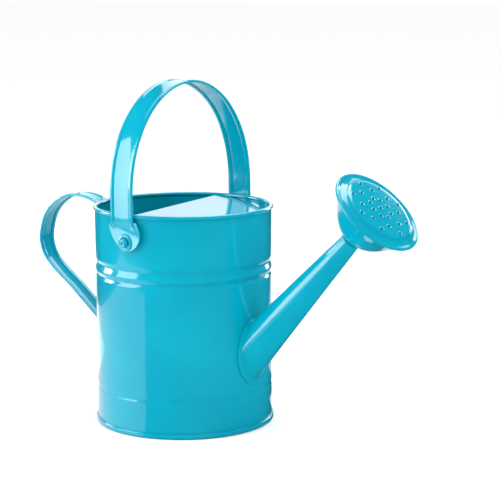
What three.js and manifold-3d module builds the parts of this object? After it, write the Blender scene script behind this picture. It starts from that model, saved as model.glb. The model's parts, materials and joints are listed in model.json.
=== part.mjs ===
import * as THREE from 'three';
import { mergeVertices } from 'three/addons/utils/BufferGeometryUtils.js';
import Module from 'manifold-3d';

// Watering can, millimetres. +X spout, -X rear handle, +-Y bail pivots, +Z up.
// The origin is the middle of the base, on the ground plane.

// ---- driving dimensions -------------------------------------------------
const SHEET = 0.6;            // gauge of the can's sheet
const GAP = 0.3;              // clearance between pieces that touch
const BODY_RADIUS = 62.5;     // outer face of the wall
const RIM_HEIGHT = 153.1;     // middle of the rolled rim
const RIM_ROLL = 1.5;         // outer radius of the rolled rim's section
const RIM_INSET = 0.3;        // middle of the roll inside the wall's outer face
const RIM_END = THREE.MathUtils.degToRad(-45);   // where the curl stops, outside and below
const GROOVE_DROPS = [38.3, 46.4];               // below the rim
const GROOVE_DEPTH = 0.9;
const GROOVE_HALF = 2.3;
const LOW_GROOVE = { height: 26.2, depth: 0.35, half: 2.6 };
const ROUND = 44;             // facets around the can

const PAN_FLANGE = 1.2;       // how far the bottom seam stands out from the wall
const SEAM_HEIGHT = 3.4;
const PAN_CHANNEL = { inset: 5.5, width: 9, height: 1.8 };   // inset from the wall

const HOOD_EDGE = -9;         // x of the hood's free edge on the axis
const HOOD_TWIST = THREE.MathUtils.degToRad(7);
const HOOD_SLOPE = THREE.MathUtils.degToRad(5.5);
const HOOD_DROP = 0.6;        // top of the free edge below the middle of the rim roll
const HOOD_LIP = 4;           // turned-down lip that follows the wall
const HOOD_HEM = 0.9;         // radius of the hem along the free edge

const SPOUT_ANGLE = THREE.MathUtils.degToRad(46.2);
const SPOUT_ROOT_HEIGHT = 57.9;   // where the spout's axis meets the wall
const SPOUT_LENGTH = 117.9;       // along its axis, from the wall
const SPOUT_TIP_RADIUS = 6.65;
const SPOUT_TAPER = 0.0668;
const SADDLE = 2;                 // width of the flange around the spout's root

const NECK_LENGTH = 16;       // rose neck inside the spout
const NECK_OUT = 4;           // rose neck inside the cup
const ROSE_DEPTH = 27.5;      // spout tip to the rose's rim
const ROSE_RADIUS = 32.8;
const ROSE_CURL = 1.25;
const FACE_INSET = 8.2;       // raised disc of the rose, inside its rim
const FACE_RISE = 3.3;
const FACE_CROWN = 0.7;
const HOLE_RADIUS = 1.0;
const HOLE_RINGS = [[0, 1, 0], [8.1, 8, 0], [15.8, 8, 22.5], [21.3, 8, 0]];

const PIVOT_X = 2.6;
const PIVOT_DROP = 17.8;      // below the rim
const BAIL_LEAN = THREE.MathUtils.degToRad(-0.8);
const BAIL_OFFSET = -2.4;      // strap middle against the pivot
const BAIL_WIDTH = 20;
const BAIL_HEIGHT = 107;     // pivot to the top of the loop
const BAIL_SPRING = 31.1;      // height above the pivot where the arch begins
const BAIL_THICK = 2.2;       // over the hems
const BAIL_WEB = 0.9;
const BAIL_HEM = 3.6;
const TAB_THICK = 1.3;

const RIVET_RADIUS = 1.7;
const PIVOT_HEAD = { radius: 3.2, height: 1.9 };
const BOSS = { radius: 5.4, height: 0.9 };
const WASHER = { radius: 5, thick: 0.8 };

const HANDLE_WIDTH = 14.9;
const HANDLE_MIDDLE = -0.5;
const HANDLE_THICK = 2.0;
const HANDLE_WEB = 0.9;
const HANDLE_HEM = 2.9;
const HANDLE_FOOT = 1;        // gauge of its feet
// Low and high ends of its feet, below the rim.
const HANDLE_FLANGE = { top: [22.6, 8.1], bottom: [116.9, 100.4] };
// Outer face of the handle: distance from the wall, height against the rim.
const HANDLE_LINE = [[0.4, -9.2], [6.6, -6.3], [13.3, -3.2], [20, -0.5], [29.6, 1.4], [41.2, 1.2], [51.7, -2.3],
  [62.1, -9.4], [69, -18.2], [73.2, -31], [73, -39.2], [69.6, -47.7], [62.6, -55.2], [53.6, -62],
  [43.2, -69], [31.3, -78.2], [15.4, -90.5], [6.6, -97.3], [0.4, -102.3]];

// ---- materials ----------------------------------------------------------
const enamel = new THREE.MeshStandardMaterial({ color: 0x00acd0, roughness: 0.25, metalness: 0.1 });
const enamelInside = new THREE.MeshStandardMaterial({ color: 0x0a8fb4, roughness: 0.35, metalness: 0.1 });
const steel = new THREE.MeshStandardMaterial({ color: 0xb8bec2, roughness: 0.4, metalness: 0.9 });

// ---- solids -------------------------------------------------------------
const wasm = await Module();
wasm.setup();

function solid(geometry) {
  geometry.deleteAttribute('normal');
  geometry.deleteAttribute('uv');
  const merged = mergeVertices(geometry, 1e-4);
  const corners = merged.index.array;
  const kept = [];
  for (let i = 0; i < corners.length; i += 3) {
    const [a, b, c] = [corners[i], corners[i + 1], corners[i + 2]];
    if (a !== b && b !== c && c !== a) kept.push(a, b, c);
  }
  return new wasm.Manifold(new wasm.Mesh({
    numProp: 3,
    vertProperties: new Float32Array(merged.attributes.position.array),
    triVerts: new Uint32Array(kept),
  }));
}

function mesh(name, body, material) {
  const data = body.getMesh();
  const geometry = new THREE.BufferGeometry();
  geometry.setAttribute('position', new THREE.BufferAttribute(data.vertProperties, 3));
  geometry.setIndex(new THREE.BufferAttribute(data.triVerts, 1));
  const flat = geometry.toNonIndexed();
  flat.computeVertexNormals();
  const node = new THREE.Mesh(flat, material);
  node.name = name;
  return node;
}

// Revolves [radius, height] points about +Z; counter-clockwise profiles face out.
function lathe(profile, segments = ROUND) {
  const closed = profile[0][0] > 1e-6 || profile[profile.length - 1][0] > 1e-6;
  const ring = closed ? [...profile, profile[0]] : profile;
  const points = ring.map(([r, z]) => new THREE.Vector2(r, z));
  return new THREE.LatheGeometry(points, segments).rotateX(Math.PI / 2);
}

function slab(shape, depth) {
  return new THREE.ExtrudeGeometry(shape, { depth, bevelEnabled: false, curveSegments: 6 });
}

function outline(points) {
  return new THREE.Shape(points.map(([x, y]) => new THREE.Vector2(x, y)));
}

function box(x0, x1, y0, y1, z0, z1) {
  return new THREE.BoxGeometry(x1 - x0, y1 - y0, z1 - z0)
    .translate((x0 + x1) / 2, (y0 + y1) / 2, (z0 + z1) / 2);
}

function arc(cx, cz, radius, from, to, steps) {
  return Array.from({ length: steps + 1 }, (_, i) => {
    const t = from + (to - from) * i / steps;
    return [cx + radius * Math.cos(t), cz + radius * Math.sin(t)];
  });
}

function ringTube(inner, outer, z0, z1, segments = ROUND) {
  return lathe([[inner, z0], [outer, z0], [outer, z1], [inner, z1]], segments);
}

// A groove pressed inward, as offsets of the wall at heights around its middle.
function groove({ height, depth, half }) {
  return [[0, -half], [-depth * 0.85, -half * 0.4], [-depth * 0.85, half * 0.4], [0, half]]
    .map(([dr, dz]) => [dr, height + dz]);
}

// ---- body ---------------------------------------------------------------
const seamTop = SEAM_HEIGHT;
const flangeLow = SHEET + GAP;
const flangeHigh = seamTop - SHEET - GAP;
const rollMiddle = BODY_RADIUS - RIM_INSET;
const rollAngle = (radius, offset) => 2 * Math.PI - Math.acos(offset / radius);
const grooves = [LOW_GROOVE, ...[...GROOVE_DROPS].reverse()
  .map((drop) => ({ height: RIM_HEIGHT - drop, depth: GROOVE_DEPTH, half: GROOVE_HALF }))].flatMap(groove);
const flangeOut = BODY_RADIUS + PAN_FLANGE - SHEET - GAP;

function bodyShell() {
  const outside = grooves.map(([dr, z]) => [BODY_RADIUS + dr, z]);
  const inside = grooves.map(([dr, z]) => [BODY_RADIUS - SHEET + dr, z]).reverse();
  const hollow = RIM_ROLL - SHEET;
  const curlIn = arc(rollMiddle, RIM_HEIGHT, hollow, rollAngle(hollow, RIM_INSET), RIM_END, 5);
  const curlOut = arc(rollMiddle, RIM_HEIGHT, RIM_ROLL, RIM_END, rollAngle(RIM_ROLL, RIM_INSET - SHEET), 8);
  return solid(lathe([
    [BODY_RADIUS - SHEET, flangeLow], [flangeOut, flangeLow], [flangeOut, flangeHigh],
    [BODY_RADIUS, flangeHigh], ...outside, ...curlIn, ...curlOut, ...inside,
  ]));
}

function basePan() {
  const out = BODY_RADIUS + PAN_FLANGE;
  const { inset, width, height } = PAN_CHANNEL;
  const outer = BODY_RADIUS - inset;
  const inner = outer - width;
  return solid(lathe([
    [0, 0], [inner, 0], [inner + 2, height], [outer - 2, height], [outer, 0], [out - 0.5, 0], [out, 0.5],
    [out, seamTop - 0.5], [out - 0.5, seamTop], [BODY_RADIUS + GAP, seamTop],
    [BODY_RADIUS + GAP, seamTop - SHEET], [out - SHEET, seamTop - SHEET], [out - SHEET, SHEET],
    [outer + 0.3, SHEET], [outer - 1.7, height + SHEET], [inner + 1.7, height + SHEET], [inner - 0.3, SHEET],
    [0, SHEET],
  ]));
}

function rimWire() {
  const radius = RIM_ROLL - SHEET - GAP;
  return solid(lathe(arc(rollMiddle, RIM_HEIGHT, radius, 0, 2 * Math.PI, 6).slice(0, -1)));
}

// ---- hood ---------------------------------------------------------------
function hoodCover() {
  const outer = BODY_RADIUS - SHEET - GAP;
  const neck = rollMiddle - RIM_ROLL - GAP;
  const under = RIM_HEIGHT - RIM_ROLL;
  const low = RIM_HEIGHT - 30;
  const high = RIM_HEIGHT + 20;
  const side = [[outer, low], [outer, under - 0.7], [neck, under], [neck, high]];
  const reach = 2 * BODY_RADIUS;
  const top = RIM_HEIGHT - HOOD_DROP;
  const tilt = (geometry) => geometry.rotateY(HOOD_SLOPE).rotateZ(HOOD_TWIST)
    .translate(HOOD_EDGE, 0, top);
  const plate = solid(tilt(box(0, reach, -reach, reach, -SHEET, 0)));
  const lipZone = solid(tilt(box(0, reach, -reach, reach, -HOOD_LIP, 0)));
  const disc = solid(lathe([[0, low], ...side, [0, high]]));
  const lip = solid(lathe([...side, ...side.map(([r, z]) => [r - SHEET, z]).reverse()]));
  const hem = solid(tilt(new THREE.CylinderGeometry(HOOD_HEM, HOOD_HEM, 2 * reach, 10)
    .translate(0.4, 0, -HOOD_HEM)));
  return plate.intersect(disc).add(lip.intersect(lipZone)).add(hem.intersect(disc));
}

// ---- spout --------------------------------------------------------------
const spoutShift = Math.sin(SPOUT_ANGLE) * BODY_RADIUS - Math.cos(SPOUT_ANGLE) * SPOUT_ROOT_HEIGHT;
const spoutRoot = Math.cos(SPOUT_ANGLE) * BODY_RADIUS + Math.sin(SPOUT_ANGLE) * SPOUT_ROOT_HEIGHT;
const spoutTip = spoutRoot + SPOUT_LENGTH;
const roseRim = spoutTip + ROSE_DEPTH;
const alongSpout = (geometry) => geometry.translate(spoutShift, 0, 0).rotateY(Math.PI / 2 - SPOUT_ANGLE);
const spoutRadius = (s) => SPOUT_TIP_RADIUS + SPOUT_TAPER * (spoutTip - s);

function cone(extra, from, to, segments = 28) {
  return solid(alongSpout(lathe([[0, from], [spoutRadius(from) + extra, from], [spoutRadius(to) + extra, to],
    [0, to]], segments)));
}

function spoutTube() {
  const from = 50;
  const rolled = solid(alongSpout(lathe([[SPOUT_TIP_RADIUS - SHEET + 0.1, spoutTip - 2.2],
    [SPOUT_TIP_RADIUS + 0.1, spoutTip - 2.2], [SPOUT_TIP_RADIUS + 0.6, spoutTip - 1.1],
    [SPOUT_TIP_RADIUS + 0.1, spoutTip], [SPOUT_TIP_RADIUS - SHEET + 0.1, spoutTip]], 28)));
  const seat = BODY_RADIUS + GAP;
  const saddle = solid(ringTube(seat, seat + SHEET, 0, RIM_HEIGHT)).intersect(cone(SADDLE, from, 150));
  const outside = solid(lathe([[0, -20], [seat, -20], [seat, RIM_HEIGHT], [0, RIM_HEIGHT]]));
  return cone(0, from, spoutTip).add(saddle).subtract(outside).add(rolled)
    .subtract(cone(-SHEET, from - 5, spoutTip + 5));
}

const spoutHole = () => cone(-SHEET - 1.5, 60, 120);

// ---- rose ---------------------------------------------------------------
function roseNeck() {
  const radius = SPOUT_TIP_RADIUS - SHEET - GAP;
  return solid(alongSpout(ringTube(radius - SHEET, radius, spoutTip - NECK_LENGTH, spoutTip + NECK_OUT, 28)));
}

function roseCup() {
  const mouth = roseRim - ROSE_CURL;
  const depth = mouth - spoutTip - GAP;
  const start = spoutTip + GAP;
  const hole = SPOUT_TIP_RADIUS - SHEET;
  const bell = [[SPOUT_TIP_RADIUS + 0.9, 0], [10.4, 0.073], [14.8, 0.19], [19.5, 0.379], [22.9, 0.57],
    [25.5, 0.725], [28.3, 0.86], [ROSE_RADIUS - ROSE_CURL, 1]]
    .map(([r, t]) => [r, start + t * depth]);
  const inner = bell.map(([r, s], i) => [r - SHEET * (i < 3 ? 0.7 : 1), s + (i < 4 ? SHEET * 0.8 : 0)]);
  inner[0] = [hole, start + SHEET];
  return solid(alongSpout(lathe([[hole, start], ...bell, ...inner.reverse()], 44)));
}

function roseFacePlate() {
  const faceRadius = ROSE_RADIUS - FACE_INSET;
  const rim = ROSE_RADIUS - ROSE_CURL;
  const lip = arc(rim, roseRim, ROSE_CURL, -Math.PI * 0.42, Math.PI * 0.75, 6);
  const wall = rim - SHEET;
  const low = roseRim - 0.2;
  const disc = roseRim + FACE_RISE;
  const outer = [[rim - 2.4, low + 0.2], [faceRadius + 1.4, low + 0.9], [faceRadius, disc],
    [faceRadius * 0.5, disc + FACE_CROWN * 0.75], [0, disc + FACE_CROWN]];
  const inner = [[0, disc + FACE_CROWN - SHEET], [faceRadius * 0.5, disc + FACE_CROWN * 0.75 - SHEET],
    [faceRadius - SHEET, disc - SHEET], [faceRadius + 0.8, low + 0.4 - SHEET],
    [rim - 2.4, low - SHEET + 0.2], [wall - 0.4, low - SHEET + 0.1]];
  const under = [[wall, roseRim - ROSE_CURL + GAP], [rim + GAP, roseRim - ROSE_CURL + GAP],
    [rim + GAP, roseRim - ROSE_CURL * 0.92]];
  const plate = solid(alongSpout(lathe([...inner, ...under, ...lip, ...outer], 44)));
  const bores = HOLE_RINGS.flatMap(([radius, count, phase]) => Array.from({ length: count }, (_, i) => {
    const turn = THREE.MathUtils.degToRad(phase + i * 360 / count);
    return solid(alongSpout(new THREE.CylinderGeometry(HOLE_RADIUS, HOLE_RADIUS, 8, 6).rotateX(Math.PI / 2)
      .translate(radius * Math.cos(turn), radius * Math.sin(turn), disc)));
  }));
  return bores.reduce((body, bore) => body.subtract(bore), plate);
}

// ---- straps -------------------------------------------------------------
// Section of a strap, [outward, across]: both edges are folded inward.
function strapSection(width, thick, web, hem) {
  const h = width / 2;
  const c = thick * 0.45;
  return [[-thick + 0.4, -h + hem], [-thick, -h + hem - 0.5], [-thick, -h + c], [-thick + 0.5, -h + 0.2],
    [-c, -h], [-0.2, -h + 0.4], [0, -h + c], [0, h - c], [-0.2, h - 0.4], [-c, h], [-thick + 0.5, h - 0.2],
    [-thick, h - c], [-thick, h - hem + 0.5], [-thick + 0.4, h - hem], [-web, h - hem], [-web, -h + hem]];
}

function sweep(section, points, steps) {
  const path = new THREE.CatmullRomCurve3(points, false, 'centripetal');
  return new THREE.ExtrudeGeometry(section, { steps, bevelEnabled: false, extrudePath: path });
}

const HOLE = RIVET_RADIUS + GAP;
const boreRod = (sides) => new THREE.CylinderGeometry(HOLE, HOLE, 4 * BODY_RADIUS, sides);

// The bail is drawn upright about its pivot line, then leaned back.
const atPivot = (geometry) => geometry.translate(PIVOT_X, 0, RIM_HEIGHT - PIVOT_DROP);
const aboutPivot = (geometry) => atPivot(geometry.rotateY(BAIL_LEAN));
const legInner = BODY_RADIUS - RIM_INSET + RIM_ROLL + GAP;
const legOuter = legInner + BAIL_THICK;

function bailStrap() {
  const rise = BAIL_HEIGHT - BAIL_SPRING;
  const side = arc(0, 0, 1, 0, Math.PI, 16).map(([y, z]) => new THREE.Vector3(BAIL_OFFSET, legOuter * y,
    BAIL_SPRING + rise * z));
  const foot = (y) => [12, 18, 24].map((z) => new THREE.Vector3(BAIL_OFFSET, y, z));
  const path = [...foot(legOuter), ...side, ...foot(-legOuter).reverse()];
  const section = strapSection(BAIL_WIDTH, BAIL_THICK, BAIL_WEB, BAIL_HEM)
    .map(([out, across]) => [-out, across]);
  const loop = solid(aboutPivot(sweep(outline(section), path, 52)));
  const edge = outline([[-14, 11.5], [-15.2, 9.4], [-11.2, 2.6], [-7.4, -1.6], [-3.4, -4.5], [1.2, -5.8],
    [5.6, -5.2], [9.4, -2.6], [12.2, 1.2], [13, 4], [12.2, 9.6], [10.2, 13], [8.8, 16], [-11, 16],
    [-12.4, 14]]);
  const plate = (y) => slab(edge, TAB_THICK).rotateX(Math.PI / 2).translate(0, y + TAB_THICK, 0);
  const crease = (y) => solid(aboutPivot(box(-14.4, 10.8, y, y + BAIL_THICK - 0.2, 10.2, 12.6)));
  const disc = (y) => new THREE.CylinderGeometry(BOSS.radius, BOSS.radius + 0.8, BOSS.height, 24)
    .rotateX(y > 0 ? 0 : Math.PI).translate(0, y, 0);
  const boss = (y) => solid(aboutPivot(disc(y)));
  const bore = solid(aboutPivot(boreRod(20)));
  const face = legInner + TAB_THICK + BOSS.height / 2;
  return loop.add(solid(aboutPivot(plate(legInner)))).add(solid(aboutPivot(plate(-legInner - TAB_THICK))))
    .add(crease(legInner)).add(crease(-legInner - BAIL_THICK + 0.2))
    .add(boss(face)).add(boss(-face)).subtract(bore);
}

// A rivet along -Y: domed head outside, shank, formed head inside.
function rivet(shank, head, tail) {
  return lathe([[0, tail - 1.2], [RIVET_RADIUS + 0.9, tail - 0.9], [RIVET_RADIUS + 1.1, tail],
    [RIVET_RADIUS, tail], [RIVET_RADIUS, shank], [head.radius, shank],
    [head.radius * 0.86, shank + head.height * 0.6],
    [head.radius * 0.5, shank + head.height * 0.92], [0, shank + head.height]], 20);
}

const pivotSeat = legInner + TAB_THICK + BOSS.height + GAP;
const washerFace = BODY_RADIUS - SHEET - GAP - 0.3;

function sideRivet(side) {
  return solid(atPivot(rivet(pivotSeat, PIVOT_HEAD, washerFace - WASHER.thick - GAP)
    .rotateX(-side * Math.PI / 2)));
}

function sideWasher(side) {
  return solid(atPivot(ringTube(RIVET_RADIUS + GAP, WASHER.radius, washerFace - WASHER.thick, washerFace, 20)
    .rotateX(-side * Math.PI / 2)));
}

// ---- rear handle --------------------------------------------------------
const flangeMiddle = ([low, high]) => RIM_HEIGHT - (low + high) / 2 - 0.6;

function rearHandle() {
  const path = HANDLE_LINE
    .map(([out, up]) => new THREE.Vector3(-BODY_RADIUS - out, HANDLE_MIDDLE, RIM_HEIGHT + up));
  const section = strapSection(HANDLE_WIDTH, HANDLE_THICK, HANDLE_WEB, HANDLE_HEM)
    .map(([out, across]) => [across, out]);
  const loop = solid(sweep(outline(section), path, 44));
  const seat = BODY_RADIUS + GAP;
  const ring = solid(ringTube(seat, seat + HANDLE_FOOT, 0, RIM_HEIGHT));
  const core = solid(lathe([[0, 0], [seat, 0], [seat, RIM_HEIGHT], [0, RIM_HEIGHT]]));
  const half = HANDLE_WIDTH / 2;
  const flange = (span) => {
    const [low, high] = span.map((drop) => RIM_HEIGHT - drop);
    const shape = outline([[-half, high], [-half, low + 4], [-half + 1.2, low + 1.2], [-half + 4, low],
      [half - 4, low], [half - 1.2, low + 1.2], [half, low + 4], [half, high]]);
    const block = slab(shape, 14).rotateX(Math.PI / 2).rotateZ(Math.PI / 2)
      .translate(-BODY_RADIUS - 6, HANDLE_MIDDLE, 0);
    return solid(block).intersect(ring);
  };
  return loop.subtract(core).add(flange(HANDLE_FLANGE.top)).add(flange(HANDLE_FLANGE.bottom))
    .subtract(rearBore(HANDLE_FLANGE.top)).subtract(rearBore(HANDLE_FLANGE.bottom));
}

const REAR_HEAD = { radius: 3, height: 1.5 };
const rearAt = (geometry, span) => geometry.rotateY(-Math.PI / 2)
  .translate(0, HANDLE_MIDDLE, flangeMiddle(span));
const rearBore = (span) => solid(rearAt(ringTube(0, RIVET_RADIUS + GAP, 0, 2 * BODY_RADIUS, 20), span));

function rearRivet(span) {
  const seat = BODY_RADIUS + 2 * GAP + HANDLE_FOOT;
  return solid(rearAt(rivet(seat, REAR_HEAD, BODY_RADIUS - SHEET - GAP - 0.2), span));
}

// ---- assembly -----------------------------------------------------------
const sideBore = solid(atPivot(boreRod(20)));
const shell = bodyShell().subtract(spoutHole()).subtract(sideBore)
  .subtract(rearBore(HANDLE_FLANGE.top)).subtract(rearBore(HANDLE_FLANGE.bottom));

const can = new THREE.Group();
can.name = 'watering_can';
can.add(
  mesh('body_shell', shell, enamel),
  mesh('base_pan', basePan(), enamel),
  mesh('rim_wire', rimWire(), steel),
  mesh('hood_cover', hoodCover(), enamelInside),
  mesh('spout_tube', spoutTube(), enamel),
  mesh('rose_neck', roseNeck(), enamelInside),
  mesh('rose_cup', roseCup(), enamel),
  mesh('rose_face_plate', roseFacePlate(), enamel),
  mesh('bail_strap', bailStrap(), enamel),
  mesh('bail_rivet_left', sideRivet(1), enamel),
  mesh('bail_rivet_right', sideRivet(-1), enamel),
  mesh('bail_washer_left', sideWasher(1), steel),
  mesh('bail_washer_right', sideWasher(-1), steel),
  mesh('rear_handle', rearHandle(), enamel),
  mesh('rear_handle_rivet_top', rearRivet(HANDLE_FLANGE.top), enamel),
  mesh('rear_handle_rivet_bottom', rearRivet(HANDLE_FLANGE.bottom), enamel),
);

export default can;
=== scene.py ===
# %% [markdown]
# # A sheet-metal watering can
#
# The can is made the way a tinsmith makes it: a rolled wall with a wired rim, a
# pressed base, a half cover, a tapering spout with a sprinkler rose, and two
# handles pressed from strip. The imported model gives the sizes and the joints; the
# pieces below give the rolled edges, hems, rivets and the poured-looking enamel.

# %% Load the frame
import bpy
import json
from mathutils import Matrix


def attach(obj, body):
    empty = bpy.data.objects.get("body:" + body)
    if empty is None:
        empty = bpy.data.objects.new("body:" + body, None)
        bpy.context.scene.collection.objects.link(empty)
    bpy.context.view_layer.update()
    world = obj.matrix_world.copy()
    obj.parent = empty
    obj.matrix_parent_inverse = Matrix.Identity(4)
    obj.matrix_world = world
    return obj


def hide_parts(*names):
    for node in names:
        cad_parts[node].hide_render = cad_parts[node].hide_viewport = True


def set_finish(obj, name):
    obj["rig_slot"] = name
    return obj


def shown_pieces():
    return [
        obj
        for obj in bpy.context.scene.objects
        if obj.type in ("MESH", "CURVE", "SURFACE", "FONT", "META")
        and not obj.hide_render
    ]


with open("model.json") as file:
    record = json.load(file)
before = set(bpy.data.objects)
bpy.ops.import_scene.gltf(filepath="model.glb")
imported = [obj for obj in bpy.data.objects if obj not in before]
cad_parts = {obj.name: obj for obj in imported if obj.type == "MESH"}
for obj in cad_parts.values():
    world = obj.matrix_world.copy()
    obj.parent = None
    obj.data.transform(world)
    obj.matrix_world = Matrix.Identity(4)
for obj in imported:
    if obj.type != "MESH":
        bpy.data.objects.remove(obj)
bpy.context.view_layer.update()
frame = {"nodes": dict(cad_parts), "record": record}

import json
import math

import bmesh
import bpy
from mathutils import Quaternion, Vector

MM = 0.001

# %% [markdown]
# ## Sizes
#
# These repeat the sizes the frame was built with, in metres. Everything else is
# worked out from them, so a hem or a rivet stays where its neighbour is.

# %% Sizes of the can
SHEET = 0.6 * MM
BODY_RADIUS = 62.5 * MM
RIM_HEIGHT = 153.1 * MM
RIM_ROLL = 1.5 * MM
RIM_MIDDLE = BODY_RADIUS - 0.3 * MM
SEAM_HEIGHT = 3.4 * MM
SEAM_OUT = BODY_RADIUS + 1.2 * MM

SPOUT_ANGLE = math.radians(46.2)
SPOUT_ROOT_HEIGHT = 57.9 * MM
SPOUT_TIP_RADIUS = 6.65 * MM
SPOUT_TAPER = 0.0668
SPOUT_SHIFT = math.sin(SPOUT_ANGLE) * BODY_RADIUS - math.cos(SPOUT_ANGLE) * SPOUT_ROOT_HEIGHT
SPOUT_LENGTH = 117.9 * MM
SPOUT_ROOT = math.cos(SPOUT_ANGLE) * BODY_RADIUS + math.sin(SPOUT_ANGLE) * SPOUT_ROOT_HEIGHT
SPOUT_TIP = SPOUT_ROOT + SPOUT_LENGTH
ROSE_RIM = SPOUT_TIP + 27.5 * MM
ROSE_RADIUS = 32.8 * MM
ROSE_CURL = 1.25 * MM

PIVOT = Vector((2.6 * MM, 0, RIM_HEIGHT - 17.8 * MM))
BAIL_LEAN = math.radians(-0.8)
LEG_INNER = BODY_RADIUS + 1.5 * MM
LEG_OUTER = LEG_INNER + 2.2 * MM
print("spout tip at", round(SPOUT_TIP, 4), "pivot", tuple(round(v, 4) for v in PIVOT))

# %% [markdown]
# ## A few hand tools
#
# Sheet-metal shapes are mostly one line, turned round an axis or pushed along a
# path. So there are four tools: draw a line point by point with extrude, spin it,
# push it along a path, and give it its gauge with Solidify. Each uses the same
# operators a person would use in edit mode.

# %% Selecting and finishing
def deselect_all():
    if bpy.context.object and bpy.context.object.mode != "OBJECT":
        bpy.ops.object.mode_set(mode="OBJECT")
    bpy.ops.object.select_all(action="DESELECT")


def pick(piece):
    deselect_all()
    piece.select_set(True)
    bpy.context.view_layer.objects.active = piece


def edit(piece, mode="VERT"):
    pick(piece)
    bpy.ops.object.mode_set(mode="EDIT")
    bpy.ops.mesh.select_mode(type=mode)


def leave():
    bpy.ops.object.mode_set(mode="OBJECT")


def select(piece, kind, test):
    """In edit mode, selects the verts, edges or faces whose middle passes the test."""
    bpy.ops.mesh.select_all(action="DESELECT")
    mesh = bmesh.from_edit_mesh(piece.data)
    found = 0
    for part in getattr(mesh, kind):
        middle = part.co if kind == "verts" else (
            sum((v.co for v in part.verts), Vector()) / len(part.verts))
        if test(middle, part):
            part.select_set(True)
            found += 1
    mesh.select_flush(True)
    bmesh.update_edit_mesh(piece.data)
    return found


def settle(piece):
    """Moves a piece's place into its mesh, so the object sits at the origin."""
    pick(piece)
    bpy.ops.object.transform_apply(location=True, rotation=True, scale=True)
    return piece


def modifier(piece, kind, **values):
    pick(piece)
    made = piece.modifiers.new(kind, kind)
    for key, value in values.items():
        setattr(made, key, value)
    bpy.ops.object.modifier_apply(modifier=made.name)


def smooth(piece, degrees=35):
    pick(piece)
    bpy.ops.object.shade_smooth_by_angle(angle=math.radians(degrees))


def join(target, *others):
    deselect_all()
    for piece in (*others, target):
        piece.select_set(True)
    bpy.context.view_layer.objects.active = target
    bpy.ops.object.join()
    return target


def copy(piece, name):
    twin = piece.copy()
    twin.data = piece.data.copy()
    twin.name = twin.data.name = name
    bpy.context.scene.collection.objects.link(twin)
    return twin


# %% Drawing and turning a line
def draw_line(name, points):
    """A vertex, extruded from point to point."""
    points = [Vector(p) for p in points]
    deselect_all()
    bpy.ops.mesh.primitive_plane_add(size=MM, location=points[0])
    line = bpy.context.object
    line.name = line.data.name = name
    edit(line)
    bpy.ops.mesh.select_all(action="SELECT")
    bpy.ops.mesh.merge(type="CENTER")
    for before, after in zip(points, points[1:]):
        bpy.ops.mesh.extrude_vertices_move(TRANSFORM_OT_translate={"value": after - before})
    leave()
    return settle(line)


def profile(points):
    """(radius, height) pairs as points in the XZ plane."""
    return [(r, 0, z) for r, z in points]


def arc(cx, cz, radius, start, end, steps):
    turns = [math.radians(start + (end - start) * i / steps) for i in range(steps + 1)]
    return [(cx + radius * math.cos(t), cz + radius * math.sin(t)) for t in turns]


def spin(line, steps, axis=(0, 0, 1), centre=(0, 0, 0)):
    edit(line)
    bpy.ops.mesh.select_all(action="SELECT")
    bpy.ops.mesh.spin(steps=steps, angle=2 * math.pi, center=centre, axis=axis)
    bpy.ops.mesh.select_all(action="SELECT")
    bpy.ops.mesh.remove_doubles(threshold=0.01 * MM)
    bpy.ops.mesh.normals_make_consistent(inside=False)
    leave()
    return line


def face_away(piece, middle):
    """Flips an open sheet whose faces mostly look towards its middle line."""
    lean = sum((Vector(f.center) - middle(Vector(f.center))).dot(f.normal) * f.area
               for f in piece.data.polygons)
    if lean < 0:
        edit(piece)
        bpy.ops.mesh.select_all(action="SELECT")
        bpy.ops.mesh.flip_normals()
        leave()


def can_axis(point):
    return Vector((0, 0, point.z))


def gauge(piece, thickness=SHEET, side=-1):
    """Side -1 grows the sheet inward from its drawn face, and 1 outward."""
    modifier(piece, "SOLIDIFY", thickness=thickness, offset=side, use_even_offset=True,
             use_quality_normals=True)


def push_along(line, path, turn_axis):
    """Extrudes a drawn section along a flat path, turning it to stay square to the path."""
    path = [Vector(p) for p in path]
    heads = [(b - a).normalized() for a, b in zip(path, path[1:])]
    edit(line)
    bpy.ops.mesh.select_all(action="SELECT")
    axis = Vector(turn_axis)
    letter = "XYZ"[max(range(3), key=lambda k: abs(axis[k]))]
    before = heads[0]
    for i in range(1, len(path)):
        bpy.ops.mesh.extrude_region_move(TRANSFORM_OT_translate={"value": path[i] - path[i - 1]})
        after = heads[i] if i < len(heads) else heads[-1]
        wanted = (heads[i - 1] + after).normalized()
        angle = math.atan2(before.cross(wanted).dot(axis), before.dot(wanted))
        before = wanted
        bpy.ops.transform.rotate(value=-angle, orient_axis=letter, orient_type="GLOBAL",
                                 center_override=path[i])
    leave()
    return line


# %% Handing a piece over
def hand_over(piece, body, slot, *nodes):
    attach(piece, body)
    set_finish(piece, slot)
    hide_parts(*nodes)
    low = [min(v.co[k] for v in piece.data.vertices) for k in range(3)]
    high = [max(v.co[k] for v in piece.data.vertices) for k in range(3)]
    size = [round((b - a) / MM, 1) for a, b in zip(low, high)]
    print(f"{piece.name}: {len(piece.data.polygons)} faces, {size} mm")


# %% [markdown]
# ## The wall
#
# The wall is one sheet rolled into a tube. Two grooves are pressed near the top to
# stiffen it, with a slightly proud band between them, and the sheet is drawn in a
# little above and below them. A faint groove stiffens the bottom. The top edge is
# rolled over a wire. A cylinder with loops would give the same shape, but one line
# drawn up the inner face and spun shows the roll and the grooves in one go.

# %% Draw the wall
# Middle height, depth and half width of each groove, and of the proud band, in millimetres.
GROOVES = [(114.8, 0.85, 3.6), (106.7, 0.85, 2.4), (26.2, 0.32, 2.8)]
BAND = (110.2, 0.3, 2.0)
DRAW_IN, DRAW_MIDDLE, DRAW_SPREAD = 0.16, 110.8, 11     # the sheet is drawn in round the upper grooves


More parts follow.
